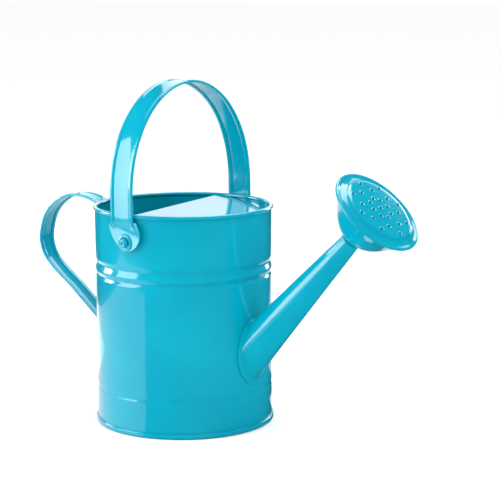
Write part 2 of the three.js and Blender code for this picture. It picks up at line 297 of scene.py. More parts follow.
def groove_depth(z, middle, depth, half):
    t = abs(z - middle) / half
    return depth * 0.5 * (1 + math.cos(math.pi * t)) if t < 1 else 0.0


def wall_offset(z):
    """How far the wall moves in at height z, in millimetres."""
    inward = sum(groove_depth(z, *groove) for groove in GROOVES)
    inward += DRAW_IN * math.exp(-((z - DRAW_MIDDLE) / DRAW_SPREAD) ** 2)
    return inward - groove_depth(z, *BAND)


def heights(*spans):
    return [a + (b - a) * i / n for a, b, n in spans for i in range(n)]


wall_heights = heights((1.0, 22, 6), (22, 30, 14), (30, 90, 10), (90, 103.5, 8), (103.5, 119, 38),
                       (119, 134, 8), (134, 151.5, 4))
inner_face = BODY_RADIUS - SHEET
wall_line = [(inner_face - wall_offset(z) * MM, z * MM) for z in wall_heights]
rim_curl = arc(RIM_MIDDLE, RIM_HEIGHT, RIM_ROLL, 258.5, -45, 20)
wall = spin(draw_line("enamelled_wall", profile(wall_line + rim_curl)), 144)
face_away(wall, can_axis)
gauge(wall, side=1)
print("wall line points:", len(wall_line) + len(rim_curl))

# %% Cut the way into the spout
def lean_to_spout(piece):
    """Tips a piece drawn round the Z axis onto the spout's axis."""
    piece.rotation_euler = (0, math.pi / 2 - SPOUT_ANGLE, 0)
    piece.location = Vector((math.sin(SPOUT_ANGLE), 0, -math.cos(SPOUT_ANGLE))) * SPOUT_SHIFT
    return settle(piece)


def spout_radius(s):
    return SPOUT_TIP_RADIUS + SPOUT_TAPER * (SPOUT_TIP - s)


deselect_all()
bpy.ops.mesh.primitive_cylinder_add(vertices=64, radius=spout_radius(0.085) - 2.2 * MM, depth=0.06,
                                    location=(0, 0, 0.085))
way_in = settle(bpy.context.object)
lean_to_spout(way_in)
modifier(wall, "BOOLEAN", operation="DIFFERENCE", object=way_in, solver="EXACT")
bpy.data.objects.remove(way_in)
smooth(wall, 30)
hand_over(wall, "can", "enamel_outside", "body_shell")

# %% [markdown]
# ## The base
#
# The base is a pressed disc. Its edge is folded round the foot of the wall, which
# makes the small rounded seam the can stands on, and a ring pressed upward keeps
# the panel flat. It is one more line to spin.

# %% Spin the base
ring_out = BODY_RADIUS - 5.5 * MM
ring_in = ring_out - 9 * MM
base_line = [(0, 0), (ring_in * 0.5, 0), (ring_in, 0), (ring_in + 0.6 * MM, 0.4 * MM),
             (ring_in + 2 * MM, 1.7 * MM), (ring_in + 3.2 * MM, 1.8 * MM), (ring_out - 3.2 * MM, 1.8 * MM),
             (ring_out - 2 * MM, 1.7 * MM), (ring_out - 0.6 * MM, 0.4 * MM), (ring_out, 0)]
SEAM_ROUND = 0.8 * MM
seam = arc(SEAM_OUT - SEAM_ROUND, SEAM_ROUND, SEAM_ROUND, -90, 0, 5)
seam += arc(SEAM_OUT - SEAM_ROUND, SEAM_HEIGHT - SEAM_ROUND, SEAM_ROUND, 0, 90, 5)
seam += [(BODY_RADIUS + 0.15 * MM, SEAM_HEIGHT)]
base = spin(draw_line("folded_base", profile(base_line + seam)), 144)
face_away(base, lambda p: Vector((0, 0, 0.01)))
gauge(base)
smooth(base, 30)
hand_over(base, "can", "enamel_outside", "base_pan")

# %% [markdown]
# ## The half cover
#
# A half disc covers the spout side of the mouth, so water doesn't slop out when the
# can is tipped. It slopes down towards the spout, its straight edge is hemmed, and
# its round edge is turned down against the wall. A filled circle is cut with
# bisect and inset, which keeps the shading of its flat middle flat, and its edges
# are extruded into the hem and the lip.

# %% Make the cover
HOOD_EDGE = -9 * MM
HOOD_SLOPE = math.radians(5.5)
HOOD_TWIST = math.radians(7)
HOOD_TOP = RIM_HEIGHT - 0.6 * MM
HOOD_RADIUS = BODY_RADIUS - SHEET - 0.25 * MM
HEM_STEPS = [(-0.5, -0.3), (-0.1, -0.8), (0.5, -0.4), (3.0, 0.3)]    # across the edge, up, in millimetres
LIP_DROPS = [0.4, 3.4]                                               # in millimetres

deselect_all()
bpy.ops.mesh.primitive_circle_add(vertices=160, radius=HOOD_RADIUS, fill_type="NGON",
                                  location=(0, 0, HOOD_TOP))
cover = settle(bpy.context.object)
cover.name = cover.data.name = "half_cover"
edit(cover)
bpy.ops.mesh.select_all(action="SELECT")
edge_way = Vector((math.cos(HOOD_TWIST), math.sin(HOOD_TWIST), 0))
bpy.ops.mesh.bisect(plane_co=(HOOD_EDGE, 0, HOOD_TOP), plane_no=edge_way, clear_inner=True)
select(cover, "faces", lambda m, f: True)
bpy.ops.mesh.inset(thickness=0.9 * MM)
straight = select(cover, "edges", lambda m, e: all(
    abs((v.co - Vector((HOOD_EDGE, 0, HOOD_TOP))).dot(edge_way)) < 0.05 * MM for v in e.verts))
for over, up in HEM_STEPS:
    step = edge_way * over * MM + Vector((0, 0, up * MM))
    bpy.ops.mesh.extrude_region_move(TRANSFORM_OT_translate={"value": step})
round_edge = select(cover, "edges", lambda m, e: e.is_boundary and m.xy.length > 0.0585
                    and (m - Vector((HOOD_EDGE, 0, 0))).dot(edge_way) > 0.3 * MM)
for drop in LIP_DROPS:
    bpy.ops.mesh.extrude_region_move(TRANSFORM_OT_translate={"value": (0, 0, -drop * MM)})
bpy.ops.mesh.select_all(action="SELECT")
bpy.ops.transform.rotate(value=-HOOD_SLOPE, orient_axis="Y", orient_type="GLOBAL",
                         center_override=(HOOD_EDGE, 0, HOOD_TOP))
leave()
face_away(cover, lambda p: p - Vector((0, 0, 1)))
gauge(cover, 0.5 * MM)
modifier(cover, "BEVEL", width=0.25 * MM, segments=2, limit_method="ANGLE",
         angle_limit=math.radians(30))
smooth(cover, 35)
print("cover edges: straight", straight, "round", round_edge)
hand_over(cover, "can", "enamel_inside", "hood_cover")

# %% [markdown]
# ## The spout
#
# The spout is a sheet cone, cut to fit the round wall and soldered on with a narrow
# flange. A bead at the tip stiffens the socket that the rose plugs into. The cone
# is spun upright, leaned over, and its foot is dropped onto the wall with a
# Shrinkwrap that projects along the spout, which is how a pattern for such a joint
# is worked out on paper.

# %% Spin the cone
FLANGE = 1.7 * MM
ROOT_RADIUS = 14.6 * MM
CONE_FOOT = 0.108            # where along the spout the drawn cone ends
FOOT_RING = 0.107            # where the foot is drawn, before it drops onto the wall
FOOT_MIDDLE = 0.95 * MM      # the foot sits towards the low side, where the cone is wider
foot_centre = (FOOT_MIDDLE, 0, FOOT_RING)
cone_top = SPOUT_TIP
bead = arc(SPOUT_TIP_RADIUS - 0.1 * MM, cone_top - 1.1 * MM, 0.75 * MM, 80, -70, 7)
cone_line = [(SPOUT_TIP_RADIUS - 0.7 * MM, cone_top - 0.1 * MM)] + bead
cone_line += [(spout_radius(s), s) for s in (cone_top - 4 * MM, 0.18, 0.155, 0.13, CONE_FOOT)]
spout = spin(draw_line("spout_cone", profile(cone_line)), 96)
low = min(v.co.z for v in spout.data.vertices)
edit(spout)
select(spout, "edges", lambda m, e: e.is_boundary and abs(m.z - low) < 0.01 * MM)
bpy.ops.mesh.extrude_region_move(TRANSFORM_OT_translate={"value": (FOOT_MIDDLE, 0, -1 * MM)})
widen = ROOT_RADIUS / spout_radius(CONE_FOOT)
bpy.ops.transform.resize(value=(widen, widen, 1), orient_type="GLOBAL", center_override=foot_centre)
bpy.ops.mesh.extrude_region_move(TRANSFORM_OT_translate={"value": (0, 0, -0.5 * MM)})
widen = (ROOT_RADIUS + FLANGE) / ROOT_RADIUS
bpy.ops.transform.resize(value=(widen, widen, 1), orient_type="GLOBAL", center_override=foot_centre)
leave()
foot_vertices = [v.index for v in spout.data.vertices if v.co.z < (CONE_FOOT + FOOT_RING) / 2]
foot = spout.vertex_groups.new(name="foot")
foot.add(foot_vertices, 1.0, "REPLACE")
print("foot vertices:", len(foot_vertices))

# %% Fit the foot to the wall
wall_reach = BODY_RADIUS + 0.75 * MM
deselect_all()
bpy.ops.mesh.primitive_cylinder_add(vertices=360, radius=wall_reach, depth=0.3, location=(0, 0, 0.1))
former = bpy.context.object
spout.rotation_euler = (0, math.pi / 2 - SPOUT_ANGLE, 0)
spout.location = Vector((math.sin(SPOUT_ANGLE), 0, -math.cos(SPOUT_ANGLE))) * SPOUT_SHIFT
modifier(spout, "SHRINKWRAP", target=former, vertex_group="foot", wrap_method="PROJECT",
         use_project_z=True, use_negative_direction=True, use_positive_direction=False)
bpy.data.objects.remove(former)
settle(spout)
spout.vertex_groups.clear()
edit(spout)
edges = select(spout, "edges", lambda m, e: not e.is_boundary
               and all(abs(v.co.xy.length - wall_reach) < 0.05 * MM for v in e.verts)
               and len(e.link_faces) == 2 and e.calc_face_angle(0) > math.radians(12))
bpy.ops.mesh.bevel(offset=1.6 * MM, segments=4, profile=0.5, affect="EDGES")
leave()


def spout_axis(point):
    way = Vector((math.cos(SPOUT_ANGLE), 0, math.sin(SPOUT_ANGLE)))
    start = Vector((math.sin(SPOUT_ANGLE), 0, -math.cos(SPOUT_ANGLE))) * SPOUT_SHIFT
    return start + way * (point - start).dot(way)


face_away(spout, spout_axis)
gauge(spout, 0.55 * MM)
smooth(spout, 40)
print("root edges rounded:", edges)
hand_over(spout, "can", "enamel_outside", "spout_tube")

# %% [markdown]
# ## The rose
#
# The rose is a spun bell with a perforated plate pressed over its mouth. Its neck
# plugs into the spout. The plate has a rolled rim, a flank that slopes up, and a
# raised, slightly crowned disc. Each hole is punched from behind, which leaves a
# tiny raised lip that catches the light.

# %% Neck and bell
neck_radius = SPOUT_TIP_RADIUS - 0.9 * MM
neck = spin(draw_line("rose_neck_tube", profile([
    (neck_radius - 0.5 * MM, SPOUT_TIP - 16 * MM), (neck_radius, SPOUT_TIP - 15.2 * MM),
    (neck_radius, SPOUT_TIP - 6 * MM), (neck_radius, SPOUT_TIP + 4 * MM)])), 64)
face_away(neck, can_axis)
gauge(neck, 0.5 * MM)
smooth(lean_to_spout(neck), 35)
hand_over(neck, "rose", "enamel_inside", "rose_neck")

bell_start = SPOUT_TIP + 0.3 * MM
bell_depth = ROSE_RIM - ROSE_CURL - bell_start
# Radius in millimetres, and how far along the bell.
bell_shape = [(6.3, 0), (7.4, 0), (8.8, 0.03), (10.4, 0.073), (12.5, 0.13), (14.8, 0.19), (17.3, 0.28),
              (19.5, 0.379), (21.3, 0.475), (22.9, 0.57), (24.2, 0.65), (25.5, 0.725), (26.8, 0.79),
              (28.3, 0.86), (29.8, 0.93), (31.3, 0.995)]
bell_line = [(r * MM, bell_start + t * bell_depth) for r, t in bell_shape]
bell = spin(draw_line("rose_bell", profile(bell_line)), 128)
face_away(bell, can_axis)
gauge(bell, 0.5 * MM)
smooth(lean_to_spout(bell), 40)
hand_over(bell, "rose", "enamel_outside", "rose_cup")

# %% Plate
DISC_RADIUS = 24.6 * MM
DISC_TOP = ROSE_RIM + 3.3 * MM
rim_curl_radius = 1.2 * MM
curl_middle = ROSE_RADIUS - ROSE_CURL
plate_line = [(curl_middle + 0.3 * MM, ROSE_RIM - 1.12 * MM)]
plate_line += arc(curl_middle, ROSE_RIM, rim_curl_radius, -62, 128, 12)
plate_line += [(curl_middle - 2.2 * MM, ROSE_RIM + 0.35 * MM), (DISC_RADIUS + 2.6 * MM, ROSE_RIM + 0.9 * MM),
               (DISC_RADIUS + 1.3 * MM, ROSE_RIM + 1.45 * MM), (DISC_RADIUS + 0.6 * MM, ROSE_RIM + 2.2 * MM),
               (DISC_RADIUS + 0.1 * MM, ROSE_RIM + 2.85 * MM), (DISC_RADIUS - 0.7 * MM, DISC_TOP - 0.05 * MM)]
plate_line += [(DISC_RADIUS * t, DISC_TOP + 0.7 * MM * (1 - t * t)) for t in (0.92, 0.8, 0.6, 0.4, 0.2, 0)]
plate = spin(draw_line("rose_plate", profile(plate_line)), 128)
face_away(plate, lambda p: p - Vector((0, 0, 1)))
gauge(plate, 0.5 * MM)
print("plate faces:", len(plate.data.polygons))

# %% Punch the holes
HOLE_RADIUS = 1.0 * MM
hole_places = [(0.0, 0.0)]
for ring, count, phase in ((8.1, 8, 0), (15.8, 8, 22.5), (21.3, 8, 0)):
    hole_places += [(ring * MM, math.radians(phase + 360 / count * i)) for i in range(count)]

deselect_all()
bpy.ops.mesh.primitive_cylinder_add(vertices=20, radius=HOLE_RADIUS, depth=8 * MM, location=(0, 0, DISC_TOP))
punch = settle(bpy.context.object)
lip = spin(draw_line("punched_lip", profile([
    (HOLE_RADIUS, -0.5 * MM), (HOLE_RADIUS, 0.2 * MM), (HOLE_RADIUS + 0.12 * MM, 0.27 * MM),
    (HOLE_RADIUS + 0.34 * MM, 0.2 * MM), (HOLE_RADIUS + 0.85 * MM, -0.05 * MM),
    (HOLE_RADIUS + 0.85 * MM, -0.3 * MM)])), 20)
face_away(lip, can_axis)
punches, lips = [], []
for number, (ring, turn) in enumerate(hole_places):
    x, y = ring * math.cos(turn), ring * math.sin(turn)
    rise = 0.7 * MM * (1 - (ring / DISC_RADIUS) ** 2)
    tool = copy(punch, f"punch_{number}")
    tool.location = (x, y, 0)
    punches.append(tool)
    edge = copy(lip, f"lip_{number}")
    edge.location = (x, y, DISC_TOP + rise)
    lips.append(edge)
bpy.data.objects.remove(punch)
bpy.data.objects.remove(lip)
tools = settle(join(punches[0], *punches[1:]))
modifier(plate, "BOOLEAN", operation="DIFFERENCE", object=tools, solver="EXACT")
bpy.data.objects.remove(tools)
lips = settle(join(lips[0], *lips[1:]))
plate = join(plate, lips)
smooth(lean_to_spout(plate), 35)
print("holes punched:", len(hole_places))
hand_over(plate, "rose", "enamel_outside", "rose_face_plate")

# %% [markdown]
# ## The bail
#
# The bail is a strip whose edges are folded in, so it doesn't cut the hand, bent
# into a loop. Near the rim the folds are pressed flat and the strip spreads into a
# rounded tab with a pressed ring round the rivet. The folded section is drawn once
# and pushed along the loop; the tabs are drawn, given their gauge and joined on.

# %% Section of a folded strip
def folded_section(width, thick, fold, dish, edge):
    """(outward, across) points of a strip: open fold, rounded edge, dished middle, and back."""
    h = width / 2
    start = -h + edge
    side = [(-thick + 0.5 * MM, -h + fold + 0.5 * MM), (-thick, -h + fold - 0.3 * MM), (-thick, start)]
    for turn in (150, 120, 90, 60, 30):
        t = math.radians(turn)
        side.append((-thick / 2 + thick / 2 * math.cos(t), start - edge * math.sin(t)))
    side += [(0, start + 0.3 * MM)]
    side += [(-dish * share, start + across * MM) for share, across in
             ((0.15, 0.9), (0.5, 1.4), (0.85, 1.9), (1.0, 2.5))]
    return side + [(out, -across) for out, across in reversed(side)]


LEG_FOOT = 14.5 * MM         # where the folds start to be pressed flat, above the pivot


def loop_points(height, spring, reach, steps):
    """The loop's outer line in the YZ plane, from one leg's foot to the other."""
    turns = [math.pi * i / steps for i in range(steps + 1)]
    arch = [(reach * math.cos(t), spring + (height - spring) * math.sin(t)) for t in turns]
    legs = [(reach, z) for z in (LEG_FOOT, 18 * MM, 22 * MM, 26 * MM)]
    return legs + arch + [(-y, z) for y, z in reversed(legs)]


BAIL_OFFSET = -2.4 * MM
BAIL_HEIGHT = 107.0 * MM
BAIL_SPRING = 31.1 * MM
bail_section = folded_section(width=20 * MM, thick=2.2 * MM, fold=3.4 * MM, dish=0.9 * MM, edge=1.3 * MM)
loop = [(BAIL_OFFSET, y, z) for y, z in loop_points(BAIL_HEIGHT, BAIL_SPRING, LEG_OUTER, 72)]
bail = draw_line("bail_strip", [
    (BAIL_OFFSET + across, LEG_OUTER + out, loop[0][2]) for out, across in bail_section])
push_along(bail, loop, (1, 0, 0))
print("loop points:", len(loop), "section points:", len(bail_section))

# %% Press the folds flat above each tab
# Each step down: its drop in millimetres, its widening and thinning, and its shift sideways in millimetres.
FOOT_STEPS = [(1.6, 1.06, 0.9, -0.6), (1.2, 1.06, 0.62, -0.3), (1.0, 1.04, 0.55, 0.6), (1.6, 1.0, 0.9, 0.9)]


def near_foot(side):
    return lambda m, e: (e.is_boundary and m.z < LEG_FOOT + 0.1 * MM and m.y * side > 0
                         and abs(e.verts[0].co.z - e.verts[1].co.z) < 0.01 * MM)


edit(bail, "EDGE")
for side in (1, -1):
    select(bail, "edges", near_foot(side))
    for drop, wide, thin, shift in FOOT_STEPS:
        bpy.ops.mesh.extrude_region_move(TRANSFORM_OT_translate={"value": (shift * MM, 0, -drop * MM)})
        bpy.ops.transform.resize(value=(wide, thin, 1), orient_type="GLOBAL",
                                 center_override=(BAIL_OFFSET, side * (LEG_INNER + 0.5 * MM), 0))
leave()
edit(bail)
bpy.ops.mesh.select_all(action="SELECT")
bpy.ops.mesh.remove_doubles(threshold=0.01 * MM)
bpy.ops.mesh.normals_make_consistent(inside=False)
leave()
print("bail sheet faces:", len(bail.data.polygons))

# %% Tabs
TAB_GAUGE = 1.2 * MM
BOSS_SEAT = TAB_GAUGE - 0.4 * MM
tab_outline = [(-12.6, 14), (-14.0, 11.8), (-14.4, 9.6), (-12.8, 6), (-11.2, 2.8), (-9.4, 0.4), (-7.2, -1.8),
               (-4.6, -3.8), (-1.8, -5.2), (1.2, -5.8), (4.2, -5.5), (7.2, -4.3), (9.8, -2.2), (11.8, 0.6),
               (12.9, 3.6), (13, 6.4),
               (12.2, 9.4), (11, 11.6), (9.6, 14)]


def make_tab(side):
    face = LEG_INNER + TAB_GAUGE
    tab = draw_line("tab", [(x * MM, side * face, z * MM) for x, z in tab_outline])
    edit(tab)
    bpy.ops.mesh.select_all(action="SELECT")
    bpy.ops.mesh.edge_face_add()
    bpy.ops.mesh.normals_make_consistent(inside=False)
    leave()
    face_away(tab, lambda p: Vector((p.x, 0, p.z)))
    edit(tab, "FACE")
    bpy.ops.mesh.select_all(action="SELECT")
    bpy.ops.mesh.inset(thickness=1.3 * MM)
    bpy.ops.transform.translate(value=(0, -0.35 * MM * side, 0))
    leave()
    gauge(tab, BOSS_SEAT)
    modifier(tab, "BEVEL", width=0.3 * MM, segments=2, limit_method="ANGLE", angle_limit=math.radians(25))
    return tab


def make_boss(side):
    face = LEG_INNER + BOSS_SEAT
    ring = [(2.0, -0.6), (2.0, 0.35), (2.9, 0.42), (3.6, 0.7), (4.4, 1.12), (5.0, 1.15), (5.6, 0.8),
            (6.3, 0.1), (6.6, -0.3)]
    boss = draw_line("boss", [(r * MM, side * (face + h * MM), 0) for r, h in ring])
    spin(boss, 48, axis=(0, 1, 0))
    face_away(boss, lambda p: Vector((p.x, 0, p.z)))
    return boss


def bail_inside(point):
    """The middle line of the legs, and above them the middle of the arch."""
    return Vector((point.x, 0, min(point.z, 0.05)))


face_away(bail, bail_inside)
gauge(bail, 0.6 * MM)
tabs = [make(side) for side in (1, -1) for make in (make_tab, make_boss)]
bail = join(bail, *tabs)
bail.rotation_euler = (0, BAIL_LEAN, 0)
bail.location = PIVOT
settle(bail)
smooth(bail, 38)
hand_over(bail, "bail", "enamel_outside", "bail_strap")

# %% [markdown]
# ## The pivots
#
# Each pivot is a tubular rivet: a small domed head outside with a dimple where the
# tool closed it, and a shank through the tab and the wall.

# %% Rivets
SHANK_RADIUS = 1.65 * MM


def make_rivet(name, head, height, length):
    """A rivet along Z, its head's seat at z = 0."""
    line = [(0, height * 0.55), (head * 0.22, height * 0.6), (head * 0.36, height * 0.9),
            (head * 0.5, height), (head * 0.68, height * 0.93), (head * 0.86, height * 0.66),
            (head * 0.97, height * 0.3), (head, 0.05 * MM), (head * 0.96, 0),
            (SHANK_RADIUS, 0), (SHANK_RADIUS, -length), (2.5 * MM, -length - 0.15 * MM),
            (2.4 * MM, -length - 0.8 * MM), (0, -length - 1.1 * MM)]
    return spin(draw_line(name, profile(line)), 40)


seat = LEG_INNER + 2.2 * MM + 0.3 * MM
pivot_rivet = make_rivet("pivot_rivet", 3.2 * MM, 1.9 * MM, seat - (BODY_RADIUS - SHEET - 1.8 * MM))
for side, node in ((1, "bail_rivet_left"), (-1, "bail_rivet_right")):
    rivet = copy(pivot_rivet, node + "_head")
    rivet.rotation_euler = (-side * math.pi / 2, 0, 0)
    rivet.location = (PIVOT.x, side * seat, PIVOT.z)
    smooth(settle(rivet), 40)
    hand_over(rivet, "can", "enamel_outside", node)
bpy.data.objects.remove(pivot_rivet)

# %% [markdown]
# ## The rear handle
#
# The rear handle is a narrower folded strip, bent into a D and riveted to the wall
# through a foot at each end. It is the same section tool with a different path.

# %% Path and strip
HANDLE_MIDDLE = -0.5 * MM
HANDLE_WIDTH = 14.9 * MM
# Distance from the wall and height against the rim, in millimetres.
handle_line = [(0.4, -9.2), (6.6, -6.3), (13.3, -3.2), (20, -0.5), (29.6, 1.4), (41.2, 1.2), (51.7, -2.3),
               (62.1, -9.4), (69, -18.2), (73.0, -31), (72.9, -39.2), (69.6, -47.7), (62.6, -55.2),
               (53.6, -62), (43.2, -69), (31.3, -78.2), (15.4, -90.5), (6.6, -97.3), (0.4, -102.3)]


def rounded(points, per_span):
    """A smooth curve through the points, like a bent batten."""
    made = []
    for i in range(len(points) - 1):
        a, b = Vector(points[max(i - 1, 0)]), Vector(points[i])
        c, d = Vector(points[i + 1]), Vector(points[min(i + 2, len(points) - 1)])
        for k in range(per_span):
            t = k / per_span
            made.append(0.5 * ((2 * b) + (c - a) * t + (2 * a - 5 * b + 4 * c - d) * t * t
                               + (3 * b - a - 3 * c + d) * t ** 3))
    return made + [Vector(points[-1])]


handle_path = [(-BODY_RADIUS - out * MM, HANDLE_MIDDLE, RIM_HEIGHT + up * MM)
               for out, up in rounded(handle_line, 4)]
handle_section = folded_section(width=HANDLE_WIDTH, thick=2.0 * MM, fold=2.9 * MM, dish=0.6 * MM,
                                edge=1.1 * MM)
start_way = (Vector(handle_path[1]) - Vector(handle_path[0])).normalized()
out_way = Vector((0, 1, 0)).cross(start_way)
out_way = out_way if out_way.z > 0 else -out_way
handle = draw_line("handle_strip", [
    Vector(handle_path[0]) + out_way * out + Vector((0, across, 0)) for out, across in handle_section])
push_along(handle, handle_path, (0, 1, 0))
edit(handle)
bpy.ops.mesh.select_all(action="SELECT")
bpy.ops.mesh.normals_make_consistent(inside=False)
leave()
handle_middle = Vector((-BODY_RADIUS - 35 * MM, 0, RIM_HEIGHT - 40 * MM))
face_away(handle, lambda p: Vector((handle_middle.x, p.y, handle_middle.z)))
gauge(handle, 0.6 * MM)
print("handle path points:", len(handle_path))

# %% Feet
def make_foot(high, low):
    half = HANDLE_WIDTH / 2
    long, short = 4 * MM, 1.2 * MM       # the two steps of each rounded corner
    outline = [(-half, high), (-half, low + long), (-half + short, low + short), (-half + long, low),
               (half - long, low), (half - short, low + short), (half, low + long), (half, high)]
    foot = draw_line("foot", [(-BODY_RADIUS - 1.3 * MM, HANDLE_MIDDLE + y, z) for y, z in outline])
    edit(foot)
    bpy.ops.mesh.select_all(action="SELECT")
    bpy.ops.mesh.edge_face_add()
    leave()
    face_away(foot, lambda p: Vector((0, p.y, p.z)))
    gauge(foot, 1.0 * MM)
    modifier(foot, "BEVEL", width=0.35 * MM, segments=2, limit_method="ANGLE", angle_limit=math.radians(30))
    return foot


feet = [make_foot(RIM_HEIGHT - 8.8 * MM, RIM_HEIGHT - 22.6 * MM),
        make_foot(RIM_HEIGHT - 100.7 * MM, RIM_HEIGHT - 116.9 * MM)]
handle = join(handle, *feet)
smooth(handle, 38)
hand_over(handle, "can", "enamel_outside", "rear_handle")

# %% Rivets of the rear handle
rear_rivet = make_rivet("rear_rivet", 3.0 * MM, 1.5 * MM, 2.9 * MM)
for node, height in (("rear_handle_rivet_top", RIM_HEIGHT - 15.95 * MM),
                     ("rear_handle_rivet_bottom", RIM_HEIGHT - 109.25 * MM)):
    rivet = copy(rear_rivet, node + "_head")
    rivet.rotation_euler = (0, -math.pi / 2, 0)
    rivet.location = (-BODY_RADIUS - 1.6 * MM, HANDLE_MIDDLE, height)
    smooth(settle(rivet), 40)
    hand_over(rivet, "can", "enamel_outside", node)
bpy.data.objects.remove(rear_rivet)

# %% [markdown]
# ## Enamel
#
# The can is dipped in glossy blue enamel. Real enamel isn't one flat colour: it
# runs a little thicker and deeper in places, its surface ripples like orange peel,
# and handling leaves faint smears in the gloss. Each of those is a node group with
# its own inputs, so every coat of enamel on the can uses the same groups.

# %% Shader groups
def new_group(name, inputs, outputs):
    group = bpy.data.node_groups.new(name, "ShaderNodeTree")
    for label, kind, value in inputs:
        socket = group.interface.new_socket(label, in_out="INPUT", socket_type=kind)
        socket.default_value = value
    for label, kind in outputs:
        group.interface.new_socket(label, in_out="OUTPUT", socket_type=kind)
    return group, group.nodes.new("NodeGroupInput"), group.nodes.new("NodeGroupOutput")


def node(tree, kind, **values):
    made = tree.nodes.new(kind)
    for key, value in values.items():
        setattr(made, key, value)
    return made


def noise(tree, coordinates, detail, **inputs):
    made = node(tree, "ShaderNodeTexNoise")
    tree.links.new(coordinates, made.inputs["Vector"])
    made.inputs["Detail"].default_value = detail
    for label, source in inputs.items():
        if isinstance(source, (int, float)):
            made.inputs[label].default_value = source
        else:
            tree.links.new(source, made.inputs[label])
    return made.outputs["Fac"]


def map_range(tree, value, low, high, to_low, to_high):
    made = node(tree, "ShaderNodeMapRange")
    sources = {"Value": value, "From Min": low, "From Max": high, "To Min": to_low, "To Max": to_high}
    for label, source in sources.items():
        if isinstance(source, (int, float)):
            made.inputs[label].default_value = source
        else:
            tree.links.new(source, made.inputs[label])
    return made.outputs["Result"]


def mix_colour(tree, factor, first, second, blend="MIX"):
    made = node(tree, "ShaderNodeMix", data_type="RGBA", blend_type=blend)
    for socket, source in ((made.inputs[0], factor), (made.inputs[6], first), (made.inputs[7], second)):
        if isinstance(source, (int, float, tuple)):
            socket.default_value = source
        else:
            tree.links.new(source, socket)
    return made.outputs[2]


# %% Depth of the coat
depth_group, given, result = new_group("coat_depth", [
    ("Thin Colour", "NodeSocketColor", (0.0, 0.45, 0.66, 1)),
    ("Deep Colour", "NodeSocketColor", (0.0, 0.36, 0.58, 1)),
    ("Cloud Scale", "NodeSocketFloat", 22.0),
    ("Speck Scale", "NodeSocketFloat", 900.0)], [("Colour", "NodeSocketColor")])
place = node(depth_group, "ShaderNodeTexCoord").outputs["Object"]
clouds = noise(depth_group, place, 3.0, Scale=given.outputs["Cloud Scale"])
specks = noise(depth_group, place, 1.0, Scale=given.outputs["Speck Scale"])
cloud_mask = map_range(depth_group, clouds, 0.35, 0.65, 0.0, 1.0)
speck_mask = map_range(depth_group, specks, 0.3, 0.7, 0.0, 0.12)
coat = mix_colour(depth_group, cloud_mask, given.outputs["Thin Colour"], given.outputs["Deep Colour"])
coat = mix_colour(depth_group, speck_mask, coat, given.outputs["Deep Colour"])
depth_group.links.new(coat, result.inputs["Colour"])

# %% Ripple and smears
ripple_group, given, result = new_group("orange_peel", [
    ("Fine Scale", "NodeSocketFloat", 700.0), ("Broad Scale", "NodeSocketFloat", 55.0),
    ("Broad Share", "NodeSocketFloat", 0.75)], [("Height", "NodeSocketFloat")])
place = node(ripple_group, "ShaderNodeTexCoord").outputs["Object"]
fine = noise(ripple_group, place, 2.0, Scale=given.outputs["Fine Scale"])
broad = noise(ripple_group, place, 1.0, Scale=given.outputs["Broad Scale"])
blend = node(ripple_group, "ShaderNodeMix", data_type="FLOAT")
ripple_group.links.new(given.outputs["Broad Share"], blend.inputs[0])
ripple_group.links.new(fine, blend.inputs[2])
ripple_group.links.new(broad, blend.inputs[3])
ripple_group.links.new(blend.outputs[0], result.inputs["Height"])

smear_group, given, result = new_group("handling_smears", [
    ("Clean Roughness", "NodeSocketFloat", 0.12), ("Smeared Roughness", "NodeSocketFloat", 0.22),
    ("Smear Scale", "NodeSocketFloat", 30.0), ("Dust Scale", "NodeSocketFloat", 1500.0)],
    [("Roughness", "NodeSocketFloat")])
place = node(smear_group, "ShaderNodeTexCoord").outputs["Object"]
stretched = node(smear_group, "ShaderNodeMapping")
stretched.inputs["Scale"].default_value = (1.0, 1.0, 0.35)
smear_group.links.new(place, stretched.inputs["Vector"])
smears = noise(smear_group, stretched.outputs["Vector"], 4.0, Scale=given.outputs["Smear Scale"])
dust = noise(smear_group, place, 1.0, Scale=given.outputs["Dust Scale"])
smear_mask = map_range(smear_group, smears, 0.45, 0.75, 0.0, 1.0)
dust_mask = map_range(smear_group, dust, 0.6, 0.8, 0.0, 0.5)
total = node(smear_group, "ShaderNodeMath", operation="MAXIMUM")
smear_group.links.new(smear_mask, total.inputs[0])
smear_group.links.new(dust_mask, total.inputs[1])
roughness = map_range(smear_group, total.outputs[0], 0.0, 1.0, given.outputs["Clean Roughness"],
                      given.outputs["Smeared Roughness"])
smear_group.links.new(roughness, result.inputs["Roughness"])
print("groups:", [group.name for group in bpy.data.node_groups])

# %% Materials
def place_group(tree, group, **values):
    made = tree.nodes.new("ShaderNodeGroup")
    made.node_tree = group
    for label, value in values.items():
        made.inputs[label.replace("_", " ")].default_value = value
    return made


def new_enamel(name, thin, deep, clean, smeared, ripple=0.1):
    material = bpy.data.materials.new(name)
    material.use_nodes = True
    tree = material.node_tree
    shader = tree.nodes["Principled BSDF"]
    colour = place_group(tree, depth_group, Thin_Colour=thin, Deep_Colour=deep)
    gloss = place_group(tree, smear_group, Clean_Roughness=clean, Smeared_Roughness=smeared)
    peel = place_group(tree, ripple_group)
    bump = node(tree, "ShaderNodeBump")
    bump.inputs["Strength"].default_value = ripple
    bump.inputs["Distance"].default_value = 0.0003
    tree.links.new(colour.outputs["Colour"], shader.inputs["Base Color"])
    tree.links.new(gloss.outputs["Roughness"], shader.inputs["Roughness"])
    tree.links.new(peel.outputs["Height"], bump.inputs["Height"])
    tree.links.new(bump.outputs["Normal"], shader.inputs["Normal"])
    shader.inputs["IOR"].default_value = 1.52
    shader.inputs["Specular IOR Level"].default_value = 0.25
    shader.inputs["Coat Weight"].default_value = 0.75
    shader.inputs["Coat Roughness"].default_value = 0.04
    return material


